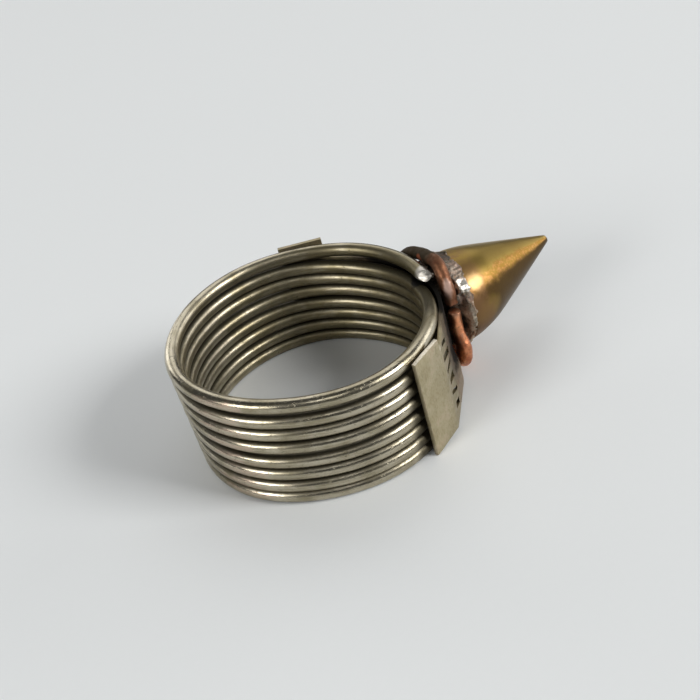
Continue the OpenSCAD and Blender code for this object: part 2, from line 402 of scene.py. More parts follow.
def solder_metal(colours):
    material, start = new_material("solder")
    p = in_mm(start)
    patches = p.warped(0.5, 2.0).noise(0.75, 3.0, 0.6)
    lumps = p.noise(1.6, 4.0, 0.65)
    grain = p.noise(6.0, 4.0, 0.7)
    warped = p.warped(0.35, 3.0)
    bright = start.math("MAXIMUM", warped.near(*BRIGHT_SOLDER), warped.near(*BRIGHT_EDGE))
    bright = start.math("MAXIMUM", bright, warped.near(*TINNED_END))
    bright = start.math("MAXIMUM", bright, patches.rise(0.6, 0.68) * 0.3)
    brown = warped.near(*BROWN_SOLDER)
    blue = warped.near(*BLUE_SOLDER)
    # Painted shadow: black where the solder fills the gap behind the copper wire
    gap_shadow_fill = warped.near(*GAP_SHADOW_SPOT)
    top = warped.near(*TOP_SOLDER)
    crevices = (lumps + grain * 0.4).rise(0.66, 0.56)
    lower = warped.axis(2).rise(*GREEN_SOLDER_Z)
    pink = lumps.rise(0.5, 0.62)
    base = patches.rise(0.42, 0.6).mix(colours.solder_dark, colours.solder_dull)
    base = (pink * 0.35).mix(base, colours.pink)
    base = (lower * (grain * 0.4 + 0.4)).mix(base, colours.solder_green)
    base = (brown * grain * 0.6).mix(base, colours.rust)
    base = (top * 0.7).mix(base, colours.solder_dark)
    base = start.math("MAXIMUM", blue * 0.9, gap_shadow_fill * 0.95).mix(base, colours.soot_and_shadow)
    specks = grain.rise(0.53, 0.62)
    base = (specks * 0.6).mix(base, colours.rust)
    base = (bright * (1 - specks * 0.6)).mix(base, colours.solder)
    base = (crevices * 0.75).mix(base, colours.grime_and_shade)
    shade(
        start,
        Base_Color=base,
        Metallic=1 - lower * 0.85,
        Roughness=0.5 - bright * 0.2 + grain * 0.14,
        Normal=bumped(start, lumps * 0.5 + grain * 0.5, 0.08 * MM, 0.6),
    )
    return material


def brass_metal(colours):
    material, start = new_material("aged brass")
    p = in_mm(start)
    blotches = p.noise(0.6, 4.0, 0.6)
    grain = p.noise(4.0, 3.0, 0.65)
    fine = p.noise(20.0, 2.0, 0.6)
    height = p.warped(1.2, 1.0).along(SPIKE_WAY) - SPIKE_FOOT_ALONG
    stained = height.rise(*STAINED_SKIRT)
    facing = start.node("TexCoord", output="Normal").axis(2) + (blotches - 0.5) * 0.4
    # Painted shade on the spike's underside, with brown tarnish
    under = facing.rise(*BRASS_SHADED_UNDERSIDE)
    # Painted shade on the spike's upper side, in the olive tarnish colour
    upper = facing.rise(*BRASS_SHADED_TOP)
    # Painted highlight on the spike's shoulder, in bright, smoother brass
    brass_highlight_spot = p.warped(0.5, 2.0).near(*BRASS_HIGHLIGHT_SPOT)
    tarnish = blotches.rise(0.42, 0.66) * 0.3 + grain.rise(0.48, 0.72) * 0.15
    # Tarnish, and the painted shade of the upper side
    aged = (tarnish + upper * 0.85).clamped()
    base = aged.mix(colours.brass, colours.olive_brass_and_top_shade)
    base = (grain.rise(0.44, 0.64) * (1 - upper) * 0.2).mix(base, colours.copper)
    base = (brass_highlight_spot * 0.8).mix(base, colours.brass_highlight)
    base = (under * (grain * 0.3 + 0.75)).mix(base, colours.brown_brass_and_under_shade)
    olive = p.warped(0.8, 1.0).near(*OLIVE_BRASS)
    base = (olive * 0.7).mix(base, colours.olive_brass_and_top_shade)
    base = (stained * blotches.rise(0.35, 0.55) * 0.7).mix(base, colours.rust)
    shade(
        start,
        Base_Color=base,
        Metallic=1.0,
        Roughness=blotches * 0.1 + grain * 0.08 + stained * 0.12 - brass_highlight_spot * 0.06 + 0.25,
        Normal=bumped(start, grain * 0.8 + fine * 0.2, 0.02 * MM, 0.4),
    )
    return material


def paper(colours):
    material, start = new_material("pale paper")
    p = in_mm(start)
    grain = p.noise(2.0, 3.0, 0.6)
    shade(
        start,
        Base_Color=grain.mix(tuple(c * 0.985 for c in colours.floor), colours.floor),
        Roughness=0.75,
    )
    return material


# Modelling by hand


FACING = 0.8  # Least part of a face's normal along the way that it faces


def only(obj):
    """Selects this object and nothing else."""
    bpy.ops.object.select_all(action="DESELECT")
    obj.select_set(True)
    bpy.context.view_layer.objects.active = obj


def edit(obj):
    only(obj)
    bpy.ops.object.mode_set(mode="EDIT")


def leave_edit():
    bpy.ops.object.mode_set(mode="OBJECT")


def pick(kind, test):
    """In edit mode, selects just the vertices, edges or faces that pass a test."""
    bpy.ops.mesh.select_mode(type=kind)
    mesh = bpy.context.edit_object.data
    shape = bmesh.from_edit_mesh(mesh)
    bpy.ops.mesh.select_all(action="DESELECT")
    parts = {"VERT": shape.verts, "EDGE": shape.edges, "FACE": shape.faces}[kind]
    found = [part for part in parts if test(part)]
    for part in found:
        part.select = True
    shape.select_flush_mode()
    bmesh.update_edit_mesh(mesh)
    if not found:
        raise RuntimeError("nothing was found to select")


def pick_near(place, reach):
    """Selects the vertices within a reach in mm of a place."""
    pick("VERT", lambda v: (v.co - place).length < reach * MM)


def pick_end(axis, place, reach):
    """Selects a wire's end: the faces that look down an axis, within a reach in mm."""

    def at_end(face):
        gap = face.calc_center_median() - place
        return face.normal[axis] < -FACING and gap.length < reach * MM

    pick("FACE", at_end)


def middle(edge):
    return (edge.verts[0].co + edge.verts[1].co) / 2


def extrude(by):
    bpy.ops.mesh.extrude_region_move(TRANSFORM_OT_translate={"value": Vector(by)})


def resize(factors, about, **fade):
    bpy.ops.transform.resize(value=factors, center_override=about, **fade)


def fading(reach, falloff="SMOOTH", connected=False):
    """Settings that let a move or resize fade out over a reach in mm."""
    return {
        "use_proportional_edit": True,
        "use_proportional_connected": connected,
        "proportional_edit_falloff": falloff,
        "proportional_size": reach * MM,
    }


def modify(obj, kind, **settings):
    """Adds a modifier to an object and applies it."""
    only(obj)
    modifier = obj.modifiers.new(kind.title(), kind)
    for name, value in settings.items():
        setattr(modifier, name, value)
    bpy.ops.object.modifier_apply(modifier=modifier.name)


def smooth(obj, levels):
    modify(obj, "SUBSURF", levels=levels, render_levels=levels)


def outward(obj):
    """Merges doubles and turns all faces outwards."""
    edit(obj)
    bpy.ops.mesh.select_all(action="SELECT")
    bpy.ops.mesh.remove_doubles(threshold=CLOSE)
    bpy.ops.mesh.normals_make_consistent(inside=False)
    leave_edit()


def cad_copy(node, name):
    """A copy of a CAD node's mesh, its loose triangles merged into quads."""
    obj = bpy.data.objects.new(name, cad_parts[node].data.copy())
    bpy.context.collection.objects.link(obj)
    edit(obj)
    bpy.ops.mesh.select_all(action="SELECT")
    bpy.ops.mesh.remove_doubles(threshold=CAD_CLOSE)
    bpy.ops.mesh.customdata_custom_splitnormals_clear()
    bpy.ops.mesh.tris_convert_to_quads(face_threshold=QUAD_ANGLE, shape_threshold=QUAD_ANGLE)
    leave_edit()
    return obj


def place_on(obj, matrix):
    """Moves the object's mesh by a matrix, with its origin left in place."""
    only(obj)
    obj.matrix_world = matrix
    bpy.ops.object.transform_apply(location=True, rotation=True, scale=True)


def lumpy(obj, depth, grain):
    """Pushes the surface in and out by a cloud pattern."""
    clouds = bpy.data.textures.new(obj.name + " clouds", "CLOUDS")
    clouds.noise_scale = grain
    clouds.noise_depth = 1
    modify(obj, "DISPLACE", texture=clouds, strength=depth, mid_level=0.5, texture_coords="LOCAL")


def finish_piece(obj, name, material, slot, *nodes, angle=40):
    """Names and finishes a piece, puts it on its body, and lets it stand for its CAD nodes.
    With no material it keeps those it has."""
    obj.name = obj.data.name = name
    if material:
        obj.data.materials.clear()
        obj.data.materials.append(material)
    only(obj)
    bpy.ops.object.shade_smooth_by_angle(angle=math.radians(angle))
    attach(obj, BODY)
    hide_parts(*nodes)
    return obj


# Settings


def length(name, description, mm, low, high):
    return FloatProperty(
        name=name, description=description, default=mm * MM, min=low * MM, max=high * MM,
        precision=5, subtype="DISTANCE", unit="LENGTH",
    )


def turn(name, description, degrees):
    return FloatProperty(
        name=name, description=description, default=math.radians(degrees),
        subtype="ANGLE", unit="ROTATION",
    )


def paint(name, description, colour):
    return FloatVectorProperty(
        name=name, description=description, default=colour, min=0.0, max=1.0,
        size=3, subtype="COLOR",
    )


def power(name, description, watts):
    return FloatProperty(
        name=name, description=description, default=watts, min=0, max=100,
        subtype="POWER", unit="POWER",
    )


def plain(name, description, value, low, high):
    """A number with no unit, whole if its default is."""
    kind = IntProperty if isinstance(value, int) else FloatProperty
    return kind(name=name, description=description, default=value, min=low, max=high)


class RingColours(PropertyGroup):
    wire: paint("Wire", "Clean nickel silver of the band", (0.52, 0.47, 0.36))
    # Used as a painted highlight on the strap's upward-facing top edges
    edge_highlight: paint("Rubbed wire", "Nickel silver rubbed bright on edges", (0.76, 0.70, 0.58))
    # Used for tarnish, and for painted shade on the band's inner wall
    aged_wire_and_shade: paint("Aged wire", "Nickel silver under its tarnish", (0.25, 0.215, 0.13))
    sheet: paint("Sheet", "Nickel silver of the strap", (0.49, 0.43, 0.29))
    sheet_aged: paint("Aged sheet", "Tarnished nickel silver of the strap", (0.37, 0.31, 0.185))
    # Used for dirt, and for painted shade and shadow in grooves, gaps and beside the tabs
    grime_and_shade: paint("Grime", "Dark dirt in grooves and pits", (0.05, 0.043, 0.026))
    # Used for fire scale, and for painted shadow in the gap behind the copper wire
    soot_and_shadow: paint("Soot", "Black fire scale beside the copper and the solder", (0.012, 0.011, 0.010))
    # Used for copper stains, and for a painted highlight on the copper wire
    pink: paint("Pink stain", "Copper that has come off on other metal", (0.62, 0.42, 0.34))
    # Used for brown fire scale and painted shade on the strap's lower bend
    fire_scale_and_shade: paint("Fire scale", "Brown stain on the strap's lower bend", (0.28, 0.20, 0.14))
    rust: paint("Brown stain", "Brown fire scale on brass, solder and sheet", (0.22, 0.12, 0.06))
    copper: paint("Copper", "Bare copper", (0.84, 0.36, 0.18))
    copper_dull: paint("Dull copper", "Copper under its brown oxide", (0.165, 0.08, 0.045))
    copper_red: paint("Red copper", "Copper under its red oxide", (0.44, 0.145, 0.07))
    solder: paint("Solder", "Bright solder", (0.68, 0.64, 0.57))
    solder_green: paint("Green solder", "Solder round the spike's lower side", (0.52, 0.45, 0.33))
    solder_dull: paint("Dull solder", "Dull, grey solder", (0.30, 0.25, 0.20))
    solder_dark: paint("Dark solder", "Dark, stained solder", (0.12, 0.10, 0.085))
    brass: paint("Brass", "Brass along the spike's front", (0.265, 0.145, 0.028))
    # Used as a painted highlight on the spike's shoulder
    brass_highlight: paint("Clean brass", "Brass of the shoulder's worn spot", (0.95, 0.66, 0.28))
    # Used for olive tarnish, and for painted shade on the spike's upper side
    olive_brass_and_top_shade: paint("Aged brass", "Brass under its olive tarnish", (0.33, 0.225, 0.055))
    # Used for painted shade on the spike's underside, with brown tarnish
    brown_brass_and_under_shade: paint("Dark brass", "Brass under its brown tarnish", (0.08, 0.048, 0.018))
    floor: paint("Floor", "Pale paper under the ring", (0.81, 0.828, 0.825))


class CoilSettings(PropertyGroup):
    swell: length("Swell", "How far the wire's faces move out before smoothing", 0.056, 0, 0.1)
    smoothing: plain("Smoothing", "Subdivision of the wire", 2, 1, 2)
    lift: length("Lift", "How far the slack turns close up to those above", 0.09, 0, 0.2)
    cut_slant: turn("Cut slant", "Slant of the wire's cut end", 35)
    hammering: length("Hammering", "How uneven the wire's hammered end is", 0.09, 0, 0.2)


class StrapSettings(PropertyGroup):
    thickness: length("Thickness", "Thickness of the sheet", 0.3, 0.2, 0.4)
    width: length("Width", "Width along the finger hole, with its tabs", 8.3, 7.6, 8.6)
    tab_step: length("Tab step", "How far the tabs stand above the strap", 1.05, 0.8, 1.4)
    tab_length: length("Tab length", "Length of each end's flat tab", 2.85, 2.0, 3.2)
    far_rise: length("Far rise", "Extra height of the far tab", 0.4, 0, 0.6)
    far_overhang: length("Far overhang", "How far the far tab stands past its crease", 0.7, 0, 1)
    # The bend's brown is fire scale and painted shade
    flare: length("Flare", "How far the strap's burnt lower bend stands out", 0.32, 0, 0.6)
    foot_rise: length("Foot rise", "How far the lower edge rises at that bend", 0.5, 0, 1)
    strokes: plain("Strokes", "Slanted strokes stamped beside the near tab", 6, 1, 8)
    stroke_length: length("Stroke length", "Length of each stroke", 2.3, 1, 3)
    stroke_width: length("Stroke width", "Width of each stroke", 0.42, 0.1, 0.6)
    stroke_depth: length("Stroke depth", "Depth of each stroke", 0.14, 0.05, 0.2)
    stroke_middle: length("Stroke middle", "How far the strokes are from the crease", 1.9, 0.8, 3)
    stroke_slant: turn("Stroke slant", "Slant of each stroke", 110)
    uneven: plain("Uneven", "How much the strokes differ", 0.25, 0, 0.5)
    corner: length("Corner", "How far the near tab's lower corner is bent up", 0.2, 0, 0.8)
    arc_middle: length("Arc middle", "How far the arc's middle lies towards the head", 0.99, 0, 2)
    arc_radius: length("Arc radius", "Radius of the sheet's middle round the head", 9.16, 8.5, 9.5)
    arc_half: turn("Half arc", "Half of the arc's angle", 36)
    run_length: length("Run", "Straight length between the arc and each tab", 4.45, 3, 6)
    tab_turn: turn("Tab turn", "Turn of each tab at its crease", 29)
    pitch: turn("Pitch", "Tilt of the strap up from the band", 3.5)
    roll: turn("Roll", "Tilt of the strap towards its far side", 0.5)
    middle_height: length("Middle", "Height of the strap's middle", 4.09, 3.8, 4.4)


class CopperSettings(PropertyGroup):
    swell: length("Swell", "How far the wire's faces move out before smoothing", 0.034, 0, 0.1)
    dents: length("Dents", "Depth of the wire's uneven surface", 0.09, 0, 0.2)
    upper_end: length("Upper end", "How far the upper lobe's end is drawn out", 0.35, 0, 0.8)
    flattening: plain("Flattening", "How much wider the hammered lower lobe is", 1.4, 1, 1.6)
    thickening: plain("Thickening", "How much deeper the hammered lower lobe is", 1.1, 1, 1.3)
    upper_flattening: plain("Upper flattening", "How much wider the upper lobe is", 1.25, 1, 1.5)


class SpikeSettings(PropertyGroup):
    foot: FloatVectorProperty(
        name="Foot", description="Middle of the spike's foot",
        default=(11.3 * MM, -0.54 * MM, 4.82 * MM), size=3, precision=5,
        subtype="TRANSLATION", unit="LENGTH",
    )
    radius: length("Radius", "Radius at the shoulder", 3.7, 3.4, 3.9)
    cone: length("Cone", "Length from the shoulder to the tip", 8.75, 8, 10)
    skirt: length("Skirt", "Length of the skirt below the shoulder", 1.75, 1.5, 2)
    tip: length("Tip", "Radius of the worn tip", 0.2, 0.05, 0.3)
    shoulder: length("Shoulder", "Roundness of the shoulder", 0.7, 0.1, 1)
    turns: plain("Rings", "Rings of faces along the spike", 40, 12, 80)
    bulge: length("Bulge", "How far the cone's sides swell", 0.03, 0, 0.3)
    worn: length("Worn", "How much of the tip's end is worn off", 0.3, 0, 0.5)
    pitch: turn("Pitch", "Angle by which the spike points up", 4.6)
    yaw: turn("Yaw", "Angle of the spike off the head's middle line", 3)


class SolderSettings(PropertyGroup):
    coat: length("Coat", "Thickness of the coat on the skirt", 0.33, 0.1, 0.4)
    voxel: length("Voxel", "Fineness of the solder's surface", 0.06, 0.04, 0.2)
    lumps: length("Lumps", "Depth of the solder's lumps", 0.21, 0, 0.4)
    rim: length("Rim", "Middle height of the coat's torn rim", 0.34, 0.2, 1.3)
    rim_bearing: turn("Rim bearing", "Turn of the rim's high side from the spike's upper side", 8)
    rim_tilt: turn("Rim tilt", "How much the rim's upper side is higher than its lower side", 14)
    torn: length("Torn", "How far the rim strays", 0.26, 0, 0.5)


class StageSettings(PropertyGroup):
    lens: FloatProperty(
        name="Lens", description="Focal length of the camera", default=57.18,
        min=20, max=120, subtype="DISTANCE_CAMERA",
    )
    world: plain("Room light", "Brightness of the light from all around", 0.07, 0, 2)
    key: power("Key lamp", "Power of the brightest lamp, at the front on the right", 15.5)
    left: power("Left lamp", "Power of the soft lamp on the left", 9.0)
    right: power("Right lamp", "Power of the low, dim lamp on the right", 6.6)
    back: power("Back lamp", "Power of the low, dim lamp behind", 3.0)
    top: power("Top lamp", "Power of the wide, dim lamp high behind", 6.4)
    front: power("Front lamp", "Power of the small lamp high at the front", 1.6)


# The pieces


# Heights in mm between which the turns lie that have a wide gap above them
SLACK_TURNS = ((6.55, 7.65), (3.15, 4.2))
# Lengths in mm: how far along the wire a turn's lift fades out, then for the cut end how
# far its faces reach, its stub, the cut beyond, where that hinges, and the cut's insets
LIFT_REACH = 6.0
END_REACH = 0.9
END_STUB = 0.15
END_CUT = 0.3
END_HINGE = 0.2
END_INSETS = (0.07, 0.12)
# How much lower the wire gets at its stub and at its cut
STUB_FACTORS = (1, 1, 0.95)
CUT_FACTORS = (1, 1, 0.92)


class RING_OT_coil(Operator):
    """Adds the coiled wire band, smoothed from the frame's own band"""

    bl_idname = "ring.coil"
    bl_label = "Coil Band"

    def execute(self, context):
        s = context.scene.ring_coil
        obj = cad_copy("coil_band", "coil")
        edit(obj)
        bpy.ops.mesh.select_all(action="SELECT")
        bpy.ops.transform.shrink_fatten(value=s.swell)
        for low, high in SLACK_TURNS:
            pick("VERT", lambda v: low * MM < v.co.z < high * MM and v.co.x < 0 < v.co.y)
            bpy.ops.transform.translate(value=(0, 0, s.lift), **fading(LIFT_REACH, connected=True))
        end = Vector(WIRE_END) * MM
        pick_end(1, end, END_REACH)
        resize(STUB_FACTORS, end)
        extrude((0, -END_STUB * MM, 0))
        resize(CUT_FACTORS, end)
        bpy.ops.transform.vertex_random(offset=s.hammering, seed=4)
        extrude((0, -END_CUT * MM, 0))
        hinge = end + Vector((0, -END_HINGE * MM, 0))
        bpy.ops.transform.rotate(value=s.cut_slant, orient_axis="X", center_override=hinge)
        for inset in END_INSETS:
            bpy.ops.mesh.inset(thickness=inset * MM)
        bpy.ops.transform.vertex_random(offset=s.hammering / 2, seed=5)
        leave_edit()
        smooth(obj, s.smoothing)
        metal = wire_metal(context.scene.ring_colours)
        finish_piece(obj, "band_wire", metal, "nickel_silver_wire", "coil_band")
        return {"FINISHED"}


def strap_matrix(s):
    tilt = Matrix.Rotation(-s.pitch, 4, "Y") @ Matrix.Rotation(s.roll, 4, "X")
    return Matrix.Translation((0, 0, s.middle_height)) @ tilt


def spike_matrix(s):
    turns = Matrix.Rotation(s.yaw, 4, "Z") @ Matrix.Rotation(math.pi / 2 - s.pitch, 4, "Y")
    return Matrix.Translation(s.foot) @ turns


def upright(middle_place, long, high, bearing):
    """An upright sheet with no thickness, its long side along a bearing in plan."""
    bpy.ops.object.select_all(action="DESELECT")
    turned_up = (math.pi / 2, 0, bearing)
    bpy.ops.mesh.primitive_plane_add(size=1, location=middle_place, rotation=turned_up)
    obj = bpy.context.active_object
    obj.scale = (long, high, 1)
    bpy.ops.object.transform_apply(location=True, rotation=True, scale=True)
    return obj


def join_solids(obj, other, operation):
    """Joins a solid to this one or cuts it away, and removes it."""
    settings = {"operation": operation, "solver": "EXACT", "material_mode": "TRANSFER"}
    modify(obj, "BOOLEAN", object=other, **settings)
    bpy.data.objects.remove(other)


# How the strap is made
ARC_STEPS = 24  # Steps of faces round the arc
EDGE_CUTS = 11  # Cuts along each upright edge, for the strap's bends
BEVEL_ANGLE = 50  # Least angle in degrees of an edge that is rounded
# Lengths in mm: how near a point has to be to be meant, the height of the burnt bend's
# middle above the lower edge, what moves fully with it, where the bend and the bent
# corner fade out, and the rounding of edges
AT_POINT = 0.01
BEND_HEIGHT = 0.5
BEND_CORE = 0.9
BEND_REACH = 2.2
CORNER_REACH = 1.3
EDGE_ROUNDING = 0.05
# The strokes' heights in steps: what the row needs beside them, the lowest, and the rest
ROW_SPARE, FIRST_STROKE, NEXT_STROKE = 0.2, 0.95, 0.93
# How fast their lengths, widths and slants vary from one to the next, in radians
LENGTH_WAVE, WIDTH_WAVE, SLANT_WAVE = 2.1, 3.3, 1.7


def stroke(place, sizes, slant, arc_half):
    """A slanted bar that cuts one stroke into the strap's near run. Its sizes are its length,
    depth and width."""
    bpy.ops.object.select_all(action="DESELECT")
    bpy.ops.mesh.primitive_cube_add(size=1)
    bar = bpy.context.active_object
    bar.scale = sizes
    bpy.ops.object.transform_apply(location=False, rotation=False, scale=True)
    along_run = Matrix.Rotation(math.pi / 2 - arc_half, 4, "Z")
    tilt = Matrix.Rotation(slant - math.pi / 2, 4, "Y")
    place_on(bar, Matrix.Translation(place) @ along_run @ tilt)
    return bar


class RING_OT_strap(Operator):
    """Adds the sheet strap with its two tabs and its row of stamped strokes"""

    bl_idname = "ring.strap"
    bl_label = "Head Strap"

    def execute(self, context):
        s = context.scene.ring_strap
        low, high = -s.width / 2, s.width / 2 - s.tab_step
        middle_line = Vector((0, 0, (low + high) / 2))
        cos, sin = math.cos(s.arc_half), math.sin(s.arc_half)
        arc_end = Vector((s.arc_middle + s.arc_radius * cos, s.arc_radius * sin, 0))
        run = s.run_length * Vector((-sin, cos, 0))
        near_out = Vector((cos, -sin, 0))
        crease = arc_end + run
        tab_angle = math.pi / 2 + s.arc_half + s.tab_turn
        tab_way = Vector((math.cos(tab_angle), math.sin(tab_angle), 0))
        flip = Vector((1, -1, 1))
        near_crease, near_tab, near_run = crease * flip, s.tab_length * tab_way * flip, run * flip
        near_middle = near_crease + near_tab / 2
        obj = upright(near_middle + middle_line, s.tab_length, high - low, math.pi - tab_angle)
        edit(obj)
        pick("EDGE", lambda e: (middle(e).xy - near_crease.xy).length < AT_POINT * MM)
        extrude(-near_run)
        arc = {"steps": ARC_STEPS, "angle": -2 * s.arc_half, "center": (s.arc_middle, 0, 0)}
        bpy.ops.mesh.spin(axis=(0, 0, 1), **arc)
        extrude(run)
        top = near_middle + Vector((0, 0, high))
        pick("EDGE", lambda e: (middle(e) - top).length < AT_POINT * MM)
        extrude((0, 0, s.tab_step))
        pick("EDGE", lambda e: abs(e.verts[0].co.z - e.verts[1].co.z) > (high - low) / 2)
        bpy.ops.mesh.subdivide(number_cuts=EDGE_CUTS)
        foot = arc_end * flip + Vector((0, 0, low + BEND_HEIGHT * MM))
        pick_near(foot, BEND_CORE)
        pull = s.flare * near_out + Vector((0, 0, s.foot_rise))
        bpy.ops.transform.translate(value=pull, **fading(BEND_REACH))
        corner = near_crease + Vector((0, 0, low))
        pick_near(corner, AT_POINT)
        bpy.ops.transform.translate(value=(0, 0, s.corner), **fading(CORNER_REACH, "SPHERE"))
        leave_edit()
        outward(obj)
        far_length = s.tab_length + s.far_overhang
        far_height = s.width + s.far_rise
        far_middle = crease + tab_way * (far_length / 2 - s.far_overhang)
        far_middle += Vector((0, 0, low + far_height / 2))
        far_tab = upright(far_middle, far_length, far_height, tab_angle)
        colours = context.scene.ring_colours
        metal, tarnished = sheet_metal(colours), stroke_metal(colours)
        for sheet in (obj, far_tab):
            modify(sheet, "SOLIDIFY", thickness=s.thickness, offset=0.0)
            sheet.data.materials.append(metal)
        join_solids(obj, far_tab, "UNION")
        step = (high - low) / (s.strokes + ROW_SPARE)
        row_foot = near_crease - near_run.normalized() * s.stroke_middle
        row_foot = row_foot + near_out * s.thickness / 2
        for i in range(s.strokes):
            place = row_foot + Vector((0, 0, low + step * (NEXT_STROKE * i + FIRST_STROKE)))
            long = s.stroke_length * (1 + s.uneven * math.sin(LENGTH_WAVE * i))
            wide = s.stroke_width * (1 + s.uneven * math.cos(WIDTH_WAVE * i))
            slant = s.stroke_slant + s.uneven * math.sin(SLANT_WAVE * i) / 2
            cutter = stroke(place, (long, 2 * s.stroke_depth, wide), slant, s.arc_half)
            cutter.data.materials.append(tarnished)
            join_solids(obj, cutter, "DIFFERENCE")
        sharp = {"limit_method": "ANGLE", "angle_limit": math.radians(BEVEL_ANGLE)}
        modify(obj, "BEVEL", width=EDGE_ROUNDING * MM, segments=2, **sharp)
        place_on(obj, strap_matrix(s))
        finish_piece(obj, "strap", None, "nickel_silver_sheet", "head_strap")
        return {"FINISHED"}


# The copper wire's hammered lobes, in mm. Columns: middle, radius within which they are
# flattened fully, and reach over which that fades out
LOWER_LOBE = (10.3, -3.9, 2.4), 0.9, 2.4
UPPER_LOBE = (10.45, -2.6, 7.7), 0.8, 1.6
# The end of the upper lobe: its middle and how far its faces reach, in mm, and its way
UPPER_END = (10.40, -3.03, 6.62)
UPPER_END_REACH = 0.7
UPPER_END_WAY = (-0.04, -0.15, -1)
# The wire's dents. Columns: share of their depth, and their grain in mm
DENTS = ((1, 0.9), (0.5, 0.35))


def flatten(lobe, factors):
    """Hammers a lobe of the copper wire flat."""
    place, core, reach = lobe
    about = Vector(place) * MM
    pick_near(about, core)
    resize(factors, about, **fading(reach, connected=True))


class RING_OT_copper(Operator):
    """Adds the hammered copper wire oval"""

    bl_idname = "ring.copper"
    bl_label = "Copper Oval"

    def execute(self, context):
        s = context.scene.ring_copper
        obj = cad_copy("copper_oval", "copper")
        edit(obj)
        bpy.ops.mesh.select_all(action="SELECT")
        bpy.ops.transform.shrink_fatten(value=s.swell)
        flatten(LOWER_LOBE, (s.thickening, s.flattening, 1))
        flatten(UPPER_LOBE, (1, s.upper_flattening, 1))
        pick_end(2, Vector(UPPER_END) * MM, UPPER_END_REACH)
        extrude(Vector(UPPER_END_WAY) * s.upper_end)
        leave_edit()
        smooth(obj, 2)
        for share, grain in DENTS:
            lumpy(obj, s.dents * share, grain * MM)
        metal = copper_metal(context.scene.ring_colours)
        finish_piece(obj, "copper_wire", metal, "oxidised_copper", "copper_oval")
        return {"FINISHED"}


def turned(name, rings, sides, matrix):
    """A solid turned about Z: a disc extruded and scaled from ring to ring. Each ring is a
    radius and a height."""
    bpy.ops.object.select_all(action="DESELECT")
    radius, height = rings[0]
    bpy.ops.mesh.primitive_circle_add(vertices=sides, radius=radius, fill_type="NGON")
    obj = bpy.context.active_object
    obj.name = name
    edit(obj)
    bpy.ops.mesh.select_all(action="SELECT")
    bpy.ops.transform.translate(value=(0, 0, height))
    for next_radius, next_height in rings[1:]:
        extrude((0, 0, next_height - height))
        ratio = next_radius / radius
        resize((ratio, ratio, 1), (0, 0, next_height))
        radius, height = next_radius, next_height
    leave_edit()
    outward(obj)
    place_on(obj, matrix)
    return obj


SPIKE_SIDES = 128
CROWDING = 1.4  # Above 1, the spike's rings lie closer together at its skirt
SKIRT_INSET = 0.08  # How far the skirt lies inside the shoulder's radius, in mm
# The foot's bevel, in mm. Columns: how far inside the shoulder's radius, and height
FOOT_RINGS = ((0.45, 0.0), (0.2, 0.25))
SKIRT_FOOT = 0.3  # Height in mm at which the skirt begins
# The worn tip. Columns: share of the radius at its edge, and height past that in mm
TIP_RINGS = ((0.8, 0.06), (0.45, 0.1), (0.1, 0.115))


class RING_OT_spike(Operator):
    """Adds the turned brass spike"""

    bl_idname = "ring.spike"
    bl_label = "Brass Spike"

    def execute(self, context):
        s = context.scene.ring_spike
        foot, end = SKIRT_FOOT * MM, s.skirt + s.cone - s.worn
        slope = (s.radius - s.tip) / s.cone
        rings = [(s.radius - inset * MM, height * MM) for inset, height in FOOT_RINGS]
        for i in range(s.turns + 1):
            high = foot + (end - foot) * (i / s.turns) ** CROWDING
            side, cone = s.radius - SKIRT_INSET * MM, s.radius - slope * (high - s.skirt)
            blend = max(s.shoulder - abs(side - cone), 0) / s.shoulder
            swell = s.bulge * math.sin(math.pi * min(1, max(0, (high - s.skirt) / s.cone)))
            rings.append((min(side, cone) - blend * blend * s.shoulder / 4 + swell, high))
        tip = rings[-1][0]
        rings += [(tip * share, end + height * MM) for share, height in TIP_RINGS]
        obj = turned("spike", rings, SPIKE_SIDES, spike_matrix(s))
        finish_piece(obj, "brass_spike", brass_metal(context.scene.ring_colours), "brass", "spike")
        return {"FINISHED"}


def blob(place, radius, factors):
    """A squashed ball of solder. Its place and radius are in mm."""
    bpy.ops.object.select_all(action="DESELECT")
    bpy.ops.mesh.primitive_ico_sphere_add(
        subdivisions=4, radius=radius * MM, location=[c * MM for c in place]
    )
    obj = bpy.context.active_object
    obj.scale = factors
    bpy.ops.object.transform_apply(location=True, rotation=True, scale=True)
    return obj


def joined(first, *others):
    only(first)
    for obj in others:
        obj.select_set(True)
    bpy.ops.object.join()
    return first


# The sleeve of solder, in mm. Radius and height of the rings of its pad, and how far inside
# the coat and how high those of the coat's foot lie
PAD_RINGS = ((2.3, -0.9), (2.5, -0.3))
COAT_RINGS = ((0.35, -0.2), (0.08, 0.0))
# How far inside the shoulder's radius the coat's thickness starts and its inner side lies
COAT_START, COAT_INSIDE = 0.2, 0.5
# How far below the shoulder the rim, its inner edge and what is moved as rim lie
RIM_DROP, RIM_INNER_DROP, RIM_PART_DROP = 0.35, 0.3, 0.45
SLEEVE_SIDES = 72
SOLDER_GRAIN = 0.55  # In mm
# Lumps of solder, in mm. Columns: middle, radius, and stretch along X, Y and Z
LUMPS = (
    ((10.95, -1.9, 8.05), 0.5, (1.1, 1.5, 0.7)),
    ((11.1, 0.4, 8.45), 0.55, (1.3, 1.7, 0.5)),
    ((10.85, -3.3, 6.45), 0.45, (1.3, 0.5, 1.0)),
    ((11.2, -3.0, 2.6), 0.5, (1.0, 0.8, 1.3)),
    ((10.35, 0.2, 8.0), 0.4, (0.8, 1.4, 0.9)),
    ((10.15, -0.75, 7.45), 0.45, (0.9, 1.0, 1.3)),
    ((10.2, -1.25, 8.0), 0.22, (1.0, 1.0, 1.2)),
    # This lump fills the gap behind the copper wire, where its solder is painted black as shadow
    ((10.0, -3.0, 4.1), 0.5, (0.8, 0.9, 2.8)),
)


